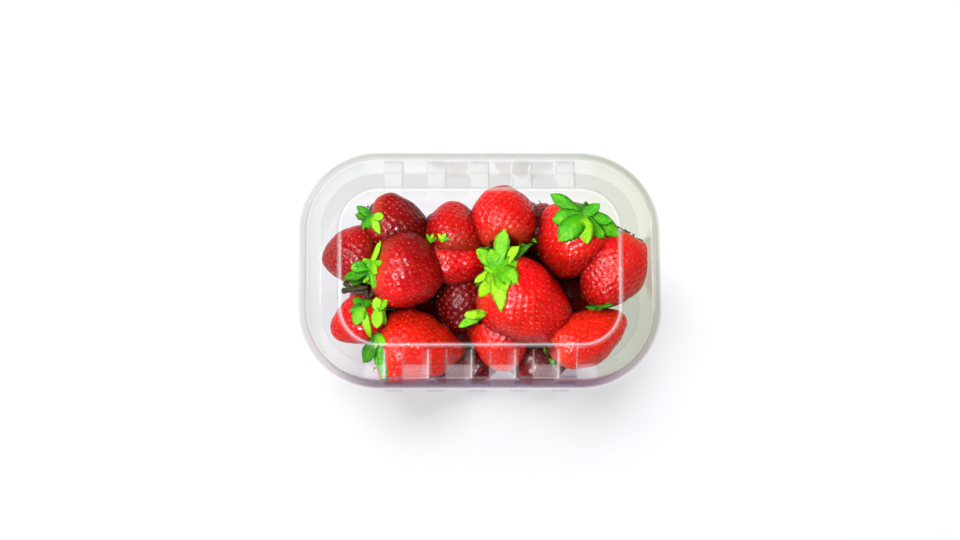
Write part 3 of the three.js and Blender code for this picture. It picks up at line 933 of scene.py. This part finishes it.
piles = []
groups = [("berries_front", ["E", "N", "O", "M"]), ("berries_left", ["A", "B", "C", "D", "L"]),
          ("berries_back", ["F", "G", "H", "I", "J", "K"])]
fruit_pieces = []
for gname, names in groups:
    pile = Pile()
    for nme in names:
        v, f, c = berries[nme].mesh(RES)
        pile.add(v, f, c)
    o = pile.make(gname, mat_flesh)
    fruit_pieces.append(o)
pile = Pile()
for nme in under:
    v, f, c = berries[nme].mesh(1.0)
    pile.add(v, f, c)
fruit_pieces.append(pile.make("berries_under", mat_flesh))

pile = Pile()
for nme in shown:
    berries[nme].add_seeds(pile)
fruit_pieces.append(pile.make("seeds_top", mat_seed))
pile = Pile()
for nme in under:
    berries[nme].add_seeds(pile, low=True)
fruit_pieces.append(pile.make("seeds_under", mat_seed))


# ---- leaves and stalks --------------------------------------------------------------------
def blade(path, normals, width, thick, fold, tone, rng, base=0.45, tip=2.4, peak=0.42):
    """A leaf along the path: a thin closed body with a raised or sunk midrib and a pointed tip."""
    path, normals = np.asarray(path, float), np.asarray(normals, float)
    n = len(path)
    tang = np.gradient(path, axis=0)
    verts, tint = [], []
    ring = [-1.0, -0.5, 0.0, 0.5, 1.0, 0.5, 0.0, -0.5]
    wob = rng.uniform(0, 6.28, 3)
    for i in range(n):
        u = i / (n - 1)
        t = unit(tang[i])
        nn = unit(normals[i] - t * np.dot(normals[i], t))
        s = np.cross(t, nn)
        if u < peak:
            w = base + (1 - base) * math.sin(math.pi / 2 * u / peak)
        else:
            w = max(0.0, 1 - ((u - peak) / (1 - peak)) ** tip)
        w = max(w, 0.03) * width / 2 * (1 + 0.10 * math.sin(7 * u + wob[0]))
        th = thick * (0.5 + 0.5 * (1 - u)) / 2
        for k, q in enumerate(ring):
            top = k in (1, 2, 3)
            edge = k in (0, 4)
            lift = fold * abs(q) * w + 0.10 * width * math.sin(9 * u + wob[1] + (1 if q > 0 else 0)) * abs(q) * u
            h = lift + (0 if edge else (th if top else -th))
            verts.append(path[i] + s * q * w + nn * h)
            tint.append((u, abs(q), tone))
    faces = []
    m = len(ring)
    for i in range(n - 1):
        for k in range(m):
            k2 = (k + 1) % m
            faces.append((i * m + k, i * m + k2, (i + 1) * m + k2, (i + 1) * m + k))
    faces.append(tuple(range(m))[::-1])
    faces.append(tuple((n - 1) * m + k for k in range(m)))
    return np.array(verts), faces, np.array(tint)


def tube(path, radii, tone, around=8):
    path = np.asarray(path, float)
    tang = np.gradient(path, axis=0)
    ref = unit(np.cross(tang[0], [0.3, 0.2, 1.0]))
    verts, tint = [], []
    for i, p in enumerate(path):
        t = unit(tang[i])
        ref = unit(ref - t * np.dot(ref, t))
        b = np.cross(t, ref)
        for k in range(around):
            f = 2 * math.pi * k / around
            verts.append(p + (ref * math.cos(f) + b * math.sin(f)) * radii[i])
            tint.append((i / (len(path) - 1) * 0.3, 0.6, tone))
    faces = []
    for i in range(len(path) - 1):
        for k in range(around):
            k2 = (k + 1) % around
            faces.append((i * around + k, i * around + k2, (i + 1) * around + k2, (i + 1) * around + k))
    faces.append(tuple(range(around))[::-1])
    faces.append(tuple((len(path) - 1) * around + k for k in range(around)))
    return np.array(verts), faces, np.array(tint)


def drop(p, gap):
    """Lifts a point so that it lies at least gap above the heap, seen along the view."""
    o = p + _d * 60
    hit = heap.ray_cast(Vector(o), Vector(-_d), 120)
    if hit[0] is not None:
        h = np.array(hit[0])
        over = np.dot(p - h, _d)
        if over < gap:
            return p + _d * (gap - over), np.array(hit[1])
    return p, None


def clear_of_fruit(verts, low=0.25, high=0.55, ring=8):
    """Lifts leaf points that would sink into the fruit, keeping the leaf's thickness."""
    out = np.array(verts, float)
    for i, q in enumerate(out):
        gap = high if i % ring in (1, 2, 3) else (0.5 * (low + high) if i % ring in (0, 4) else low)
        out[i] = drop(q, gap)[0]
    return out


def bezier(p0, p1, p2, n):
    u = np.linspace(0, 1, n)[:, None]
    return (1 - u) ** 2 * p0 + 2 * u * (1 - u) * p1 + u * u * p2


leaves = Pile()
lrng = np.random.default_rng(5)


def leaf_to(berry, tip_px, width, z_tip=None, arch=1.6, gap=0.7, tone=0.6, start=None, fold=0.10, tipshape=3.0, drop_on=True):
    """A leaf from the berry's stalk end to the point of the view tip_px."""
    b = berries[berry]
    p0 = b.pole() if start is None else np.asarray(start, float)
    o, d = ray(*tip_px)
    hit = heap.ray_cast(Vector(o), Vector(d), 2000)
    p2 = None
    if z_tip is None and hit[0] is not None and hit[0][2] > p0[2] - 15:
        p2 = np.array(hit[0]) - d * gap
    if p2 is None:
        p2 = at_z(*tip_px, z_tip if z_tip is not None else p0[2] - 3)
    p1 = (p0 + p2) / 2 + arch * unit(-b.a * 0.6 + np.array([0, 0, 0.8]))
    path = bezier(p0, p1, p2, 15)
    if drop_on:
        lifted = []
        for i, q in enumerate(path):
            r, _ = drop(q, gap * (0.5 + 0.5 * i / 14))
            lifted.append(r)
        path = np.array(lifted)
        for _ in range(2):
            path[1:-1] = 0.5 * path[1:-1] + 0.25 * (path[:-2] + path[2:])
    path = room(path)
    mid = np.array([b.c + b.a * np.dot(q - b.c, b.a) * 0.5 for q in path])
    nrm = path - mid
    nrm /= np.linalg.norm(nrm, axis=1)[:, None]
    nrm = 0.6 * nrm + 0.4 * _d
    v, f, c = blade(path, nrm, width, 0.28, fold, tone, lrng, tip=tipshape)
    leaves.add(room(clear_of_fruit(v)), f, c)


def sepal(berry, phi, length, width, hug=0.85, rise=1.2, tone=0.6, gap=0.55):
    """A leaf laid round the berry's own shoulder at the angle phi."""
    b = berries[berry]
    f = math.radians(phi)
    n = 13
    s = np.linspace(0.2, 1, n) * length
    total = b.tab_s[-1]
    t = np.interp(np.minimum(s, total * 0.8), b.tab_s, b.tab_t)
    on = b.surface(t, np.full(n, f))
    nn = b.normal(t, np.full(n, f))
    on = on + nn * (gap + rise * (s / length)[:, None] ** 2)
    flat = b.pole() + s[:, None] * (math.cos(f) * b.e1 + math.sin(f) * b.e2) - b.a * (0.8 + 0.10 * s[:, None])
    path = hug * on + (1 - hug) * flat
    nrm = hug * nn + (1 - hug) * (-b.a)
    v, fc, c = blade(room(path), nrm, width, 0.28, 0.10, tone, lrng)
    leaves.add(room(v), fc, c)


def stub(berry, length, lean=(0, 0, 0), tone=0.35, r=1.0):
    b = berries[berry]
    p0 = b.pole() + b.a * 0.6
    p2 = p0 + (-b.a + np.asarray(lean, float)) * length
    path = bezier(p0, (p0 + p2) / 2 - b.a * 0.3, p2, 7)
    v, f, c = tube(room(path), [r * 1.5, r * 1.2, r, r, r, r * 1.05, r * 1.1], tone)
    leaves.add(v, f, c)


def seen_at(px, gap=0.8, z=None):
    """The point of the heap that the view shows at px, lifted by gap; or the point at height z."""
    if z is not None:
        return at_z(*px, z)
    o, d = ray(*px)
    hit = heap.ray_cast(Vector(o), Vector(d), 2000)
    return at_z(*px, 20.0) if hit[0] is None else np.array(hit[0]) - d * gap


def crown(berry, centre, rows, z0=None, gap=0.8):
    """Leaves from one stalk end, each to its own tip: tip, width, height of the tip, tone, arch."""
    start = seen_at(centre, gap, z0)
    for px, w, z, tn, arch in rows:
        toward = seen_at(px, gap, z) - start
        leaf_to(berry, px, w, z_tip=z, tone=tn, arch=arch, gap=gap,
                start=start - unit(toward) * 0.9, tipshape=3.4)


stalks = Pile()


def stalk(points, r0, r1):
    """A dried stalk through points of the view given as (px, py, z)."""
    q = np.array([at_z(x, y, z) for x, y, z in points])
    n = 14
    u = np.linspace(0, len(q) - 1, n)
    path = np.c_[[np.interp(u, np.arange(len(q)), q[:, k]) for k in range(3)]].T
    for _ in range(3):
        path[1:-1] = 0.5 * path[1:-1] + 0.25 * (path[:-2] + path[2:])
    rad = np.linspace(r0, r1, n) * (1 + 0.12 * np.sin(np.arange(n) * 2.1))
    v, f, c = tube(room(path), rad, 0.2)
    stalks.add(v, f, c)


# the big crown on the right
crown("I", (583, 217), (((600, 204), 5.0, 50.5, 0.42, 0.5), ((577, 203), 5.0, None, 0.42, 0.5),
                        ((550, 194), 5.4, 50.8, 0.46, 0.9), ((612, 221), 6.0, 49.0, 0.46, 0.6),
                        ((552, 220), 7.6, None, 0.50, 0.7), ((621, 235), 8.0, 45.5, 0.50, 0.9),
                        ((558, 241), 8.4, None, 0.52, 0.7),
                        ((604, 238), 5.4, None, 0.48, 0.5), ((587, 244), 6.6, None, 0.80, 0.9)))
stub("I", 2.2, (0.1, 0.1, 0.0), 0.12, 0.9)

# the crown in the middle
crown("M", (498, 267), (((531, 245), 4.4, 47.0, 0.12, 0.4), ((476, 249), 5.6, 45.5, 0.66, 0.6),
                        ((505, 229), 6.4, 49.5, 0.66, 0.6), ((519, 246), 6.4, 49.0, 0.86, 0.8),
                        ((490, 249), 6.0, 47.0, 0.60, 0.5), ((518, 262), 6.4, None, 0.60, 0.6),
                        ((518, 283), 7.6, None, 0.62, 0.7), ((474, 283), 4.0, 44.0, 0.96, 0.6),
                        ((484, 268), 6.4, 46.0, 0.66, 0.5), ((507, 291), 7.2, None, 0.70, 0.6),
                        ((480, 297), 6.0, None, 0.93, 0.8), ((501, 312), 6.4, None, 1.0, 1.0),
                        ((492, 288), 7.0, None, 0.74, 0.6)))
stub("M", 2.0, (-0.3, 0.1, 0.5), 0.05, 0.8)

# left column: crowns of A, B, C, D and E
crown("A", (374, 218), (((356, 206), 3.4, 37.0, 0.30, 0.5), ((355, 215), 4.2, 36.0, 0.22, 0.5),
                        ((384, 216), 3.8, None, 0.80, 0.5), ((364, 230), 4.4, 34.0, 0.45, 0.5),
                        ((380, 235), 3.2, None, 0.86, 0.4), ((373, 229), 3.6, None, 0.60, 0.4)), z0=39.0)
stub("A", 2.4, (0, 0.1, 0.3), 0.3)
crown("D", (371, 266), (((381, 241), 3.0, None, 1.0, 0.5), ((378, 273), 4.4, None, 0.80, 0.4),
                        ((364, 258), 3.8, 38.0, 0.62, 0.4), ((351, 268), 5.0, 36.0, 0.46, 0.5),
                        ((363, 283), 5.2, 36.0, 0.66, 0.5), ((375, 289), 3.6, None, 0.60, 0.4),
                        ((382, 262), 3.2, None, 0.66, 0.4)), z0=41.0)
crown("B", (366, 272), (((344, 280), 4.6, 34.5, 0.36, 0.5), ((352, 286), 4.8, 33.5, 0.22, 0.5),
                        ((371, 285), 4.0, 35.0, 0.60, 0.4), ((357, 262), 4.0, 37.0, 0.34, 0.4)), z0=37.0)
crown("E", (379, 309), (((395, 309), 4.4, None, 0.86, 0.5), ((376, 297), 4.6, 39.5, 0.90, 0.5),
                        ((388, 301), 3.8, None, 0.70, 0.4), ((377, 328), 5.0, 37.0, 0.84, 0.6),
                        ((385, 325), 4.0, None, 0.76, 0.4)), z0=38.5)
crown("E", (379, 336), (((378, 353), 4.4, 33.0, 0.66, 0.4), ((384, 346), 3.8, None, 0.70, 0.4),
                        ((363, 363), 6.4, 28.5, 0.22, 0.4), ((379, 370), 4.4, 27.0, 0.55, 0.4),
                        ((386, 386), 3.8, 22.0, 0.50, 0.4)), z0=35.0)
crown("C", (362, 307), (((354, 297), 4.0, 35.0, 0.34, 0.4), ((356, 325), 5.2, 34.5, 0.66, 0.5),
                        ((371, 300), 4.0, 35.0, 0.26, 0.4), ((350, 311), 4.0, 34.5, 0.24, 0.4),
                        ((371, 338), 3.4, 31.5, 0.90, 0.4)), z0=36.5)
stub("C", 2.6, (0, 0, 0.3), 0.15)
for pts, r0, r1 in ((((343, 291, 33), (354, 289, 36), (368, 287, 36)), 1.2, 0.8),
                    (((345, 283, 32), (356, 293, 35.5), (371, 293, 36)), 1.1, 0.8),
                    (((366, 290, 37), (368, 305, 36.5), (369, 322, 33)), 1.2, 0.9),
                    (((373, 293, 36), (364, 303, 36), (360, 318, 35)), 1.1, 0.7),
                    (((370, 306, 35), (371, 320, 34), (368, 336, 30)), 1.3, 0.8),
                    (((362, 297, 36), (356, 303, 36), (350, 304, 35)), 0.9, 0.6)):
    stalk(pts, r0, r1)

# small leaves between the berries in the middle
crown("F", (431, 241), (((426, 234), 1.7, None, 0.62, 0.3), ((433, 233), 1.5, None, 0.80, 0.3), ((437, 238), 1.3, None, 0.45, 0.3)))
crown("F", (442, 240), (((438, 233), 1.5, None, 0.90, 0.3), ((446, 233), 1.7, None, 0.78, 0.3), ((450, 238), 1.4, None, 0.55, 0.3)))
crown("N", (483, 314), (((458, 327), 4.6, 31.0, 0.62, 0.4), ((464, 316), 4.4, 32.5, 0.96, 0.5)), z0=33.0)
leaf_to("O", (613, 304), 3.0, z_tip=31.0, tone=0.2, start=at_z(588, 309, 31.5), arch=0.3)
leaf_to("O", (604, 309), 2.6, z_tip=31.0, tone=0.3, start=at_z(586, 307, 31.5), arch=0.3)
# crowns that only the other sides show
for b, phis in (("K", (20, 95, 170, 240, 310)), ("L", (40, 110, 190, 260)), ("H", (30, 90, 160, 220, 300)),
                ("J", (222, 250, 278, 306)), ("O", (230, 285)), ("N", (200, 270)),
                ("G", (190, 240, 290, 340)), ("F", (200, 260, 320)), ("M", (240, 270, 300)), ("I", (250, 285)),
                ("A", (240, 280, 320)), ("B", (200, 250, 300, 340)), ("C", (210, 260, 310)),
                ("D", (225, 265, 305)), ("E", (225, 265, 305))):
    for k, phi in enumerate(phis):
        big = 1.0 if b in ("K", "L", "O", "N", "G", "F") else 0.6 if b == "J" else 0.0
        sepal(b, phi + 7 * math.sin(k * 5.1), 7.5 + (0 if b == "J" else big) + 2.2 * math.sin(k * 2.3 + 1),
              3.8 + 0.6 * big + 0.5 * math.sin(k * 3.1), tone=0.5 + 0.18 * math.sin(k * 1.9),
              gap=0.55 + 0.7 * big)
# painted shade: the leaves of the lower berries get a dark tone
for b in under:
    if b in ("P12", "P13", "P14", "P15", "P19", "P20"):
        continue
    k0 = len(b) + ord(b[-1])
    for k in range(7):
        sepal(b, k * 51 + 9 * math.sin(k * 3.7 + k0), 6.6 + 1.5 * math.sin(k * 2.3 + k0), 3.4,
              tone=0.22 + 0.15 * math.sin(k * 1.9 + k0), gap=0.9)
fruit_pieces.append(leaves.make("leaves", mat_leaf))
fruit_pieces.append(stalks.make("stalks", mat_stalk))

# ---- the middle of the heap, painted dark as deep shade ------------------------------------
def core_mesh():
    st = stations(False, 14)
    path = np.array([[33.0, 4.0], [31.0, 6.0], [29.5, 9.0], [29.5, 12.0], [31.0, 14.5], [33.0, 15.4]])
    v, f = loft(st, None, None, path, path)
    v = v.copy()
    ang = np.arctan2(v[:, 1], v[:, 0])
    push = 1 + 0.06 * np.sin(5 * ang + 0.4) + 0.05 * np.sin(9 * ang + 1.3)
    v[:, 0] *= push
    v[:, 1] *= push
    v[:, 2] += np.where(v[:, 2] > 7, 1.2 * np.sin(v[:, 0] / 5.0) * np.cos(v[:, 1] / 4.0), 0)
    return v, f


v, f = core_mesh()
core = make_object("heap_core", v, f, mat_core, np.zeros((len(v), 3)))
fruit_pieces.append(core)

for o in fruit_pieces:
    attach(o, "root")
    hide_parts("strawberries")

# ---- tray and lid --------------------------------------------------------------------------
mat_tray = plastic_material("clear_tray", (0.984, 0.980, 0.986), (0.91, 0.935, 0.895), 0.015, 0.60, 4.0, 26.0)
mat_lid = plastic_material("clear_lid", (0.991, 0.991, 0.990), (0.945, 0.955, 0.935), 0.005, 1.0, 2.2, 18.0)
v, f = tray_mesh()
tray = make_object("tray_shell", v, f, mat_tray, marks(v, False))
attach(tray, "root")
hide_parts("tray")
even_normals(tray)
v, f = lid_mesh()
lid = make_object("lid_shell", v, f, mat_lid, marks(v, True))
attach(lid, "root")
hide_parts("lid")
even_normals(lid)

# ---------------------------------------------------------------------------------------
# floor, light, camera
# ---------------------------------------------------------------------------------------
me = bpy.data.meshes.new("floor")
s = 3.0
me.from_pydata([(-s, -s, -0.0003), (s, -s, -0.0003), (s, s, -0.0003), (-s, s, -0.0003)], [], [(0, 1, 2, 3)])
me.materials.append(floor_material())
floor = bpy.data.objects.new("floor", me)
bpy.context.scene.collection.objects.link(floor)

world = bpy.data.worlds.new("studio")
bpy.context.scene.world = world
world.use_nodes = True
wt = world.node_tree
wt.nodes.clear()
wout = wt.nodes.new("ShaderNodeOutputWorld")
bg = wt.nodes.new("ShaderNodeBackground")
tc = wt.nodes.new("ShaderNodeTexCoord")


def wnode(kind, **kw):
    n = wt.nodes.new(kind)
    for k, v in kw.items():
        setattr(n, k, v)
    return n


def wdot(axis):
    n = wnode("ShaderNodeVectorMath", operation="DOT_PRODUCT")
    wt.links.new(tc.outputs["Generated"], n.inputs[0])
    n.inputs[1].default_value = axis
    return n.outputs["Value"]


def wramp(fac, stops):
    n = wnode("ShaderNodeValToRGB")
    els = n.color_ramp.elements
    while len(els) < len(stops):
        els.new(0.5)
    for e, (p, c) in zip(els, stops):
        e.position = p
        e.color = (*c, 1.0)
    wt.links.new(fac, n.inputs[0])
    return n.outputs[0]


def wmul(a, b):
    n = wnode("ShaderNodeMix", data_type="RGBA", blend_type="MULTIPLY")
    n.inputs[0].default_value = 1.0
    wt.links.new(a, n.inputs[6])
    wt.links.new(b, n.inputs[7])
    return n.outputs[2]


# height above the horizon: dim low down, full above 30 degrees
sky = wramp(wdot((0, 0, 1)), [(0.0, (0.95, 0.955, 0.97)), (0.22, (0.80, 0.805, 0.82)), (0.34, (0.42, 0.425, 0.44)),
                              (0.52, (0.84, 0.85, 0.88)), (0.90, (0.84, 0.85, 0.88)), (1.0, (0.62, 0.63, 0.66))])
# the patch that the flat lid mirrors towards someone looking down on it
hole = wramp(wdot((0.035, 0.205, 0.978)), [(0.0, (1, 1, 1)), (0.955, (1, 1, 1)), (0.985, (0.16, 0.16, 0.165)), (1.0, (0.10, 0.10, 0.105))])
# brighter on the window side
half = wnode("ShaderNodeMath", operation="MULTIPLY_ADD")
wt.links.new(wdot((-0.88, 0.47, 0.0)), half.inputs[0])
half.inputs[1].default_value = 0.5
half.inputs[2].default_value = 0.5
side = wramp(half.outputs[0], [(0.0, (0.66, 0.67, 0.70)), (0.5, (0.85, 0.86, 0.88)), (1.0, (1.25, 1.24, 1.22))])
wt.links.new(wmul(wmul(sky, hole), side), bg.inputs[0])
wt.links.new(bg.outputs[0], wout.inputs[0])
bg.inputs[1].default_value = 0.31


def area(name, where, at, size, power, colour=(1, 1, 1)):
    light = bpy.data.lights.new(name, "AREA")
    light.shape = "RECTANGLE"
    light.size, light.size_y = size
    light.energy = power
    light.color = colour
    o = bpy.data.objects.new(name, light)
    bpy.context.scene.collection.objects.link(o)
    o.location = where
    direction = Vector(at) - Vector(where)
    o.rotation_euler = direction.to_track_quat("-Z", "Y").to_euler()
    return o


def only(light, state, things=None):
    """Lets a light reach these things only, or all but these."""
    group = bpy.data.collections.new(light.name + "_reach")
    for thing in things or [floor]:
        group.objects.link(thing)
    for entry in group.collection_objects:
        entry.light_linking.link_state = state
    light.light_linking.receiver_collection = group


# the window shades the fruit from the left and the wide soft box fills it; the paper has
# a soft box of its own, behind the punnet; the small lamps only sparkle
window = area("window", (-0.42, -0.02, 0.92), (0, 0, 0.03), (0.40, 0.40), 16.3, (1.0, 0.99, 0.975))
window.visible_glossy = False
only(window, "EXCLUDE")
soft = area("soft_box", (0.0, -0.10, 1.30), (0, 0, 0.03), (1.2, 1.0), 12.4, (0.985, 0.99, 1.0))
soft.visible_glossy = False
only(soft, "EXCLUDE")
paper = area("paper_box", (-0.37, 0.72, 1.42), (0, 0, 0.0), (1.25, 0.75), 30.5, (1.0, 1.0, 0.985))
paper.visible_glossy = False
only(paper, "INCLUDE")
sparks = [area("sparkle", (-0.72, 0.14, 0.72), (0, 0, 0.03), (0.14, 0.20), 8.0)]
for k in range(4):
    u = k / 3
    sparks.append(area("bar", (-0.44 + 0.36 * u, -0.76 + 0.52 * u, 0.80 + 0.08 * u), (0, 0, 0.03), (0.11, 0.11), 6.0))
for spark in sparks:
    spark.visible_diffuse = False
    only(spark, "INCLUDE", fruit_pieces)
glint = area("glint", (-0.72, 0.14, 0.72), (0, 0, 0.03), (0.14, 0.20), 1.4)
glint.visible_diffuse = False
only(glint, "INCLUDE", [tray, lid])

cam = bpy.data.cameras.new("camera")
cam.sensor_width = 36.0
cam.lens = CAM_F
cam.clip_start, cam.clip_end = 0.05, 10
cobj = bpy.data.objects.new("camera", cam)
bpy.context.scene.collection.objects.link(cobj)
R = Matrix((_right, _up, -_fwd)).transposed()
cobj.matrix_world = Matrix.Translation(Vector(CAM_C * MM)) @ R.to_4x4()
bpy.context.scene.camera = cobj

scene = bpy.context.scene
scene.view_settings.view_transform = "Standard"
scene.view_settings.look = "None"
scene.view_settings.exposure = 0.0
scene.view_settings.gamma = 1.0
scene.cycles.transparent_max_bounces = 32
scene.cycles.max_bounces = 10
scene.cycles.diffuse_bounces = 2
scene.cycles.caustics_reflective = False
scene.cycles.caustics_refractive = False
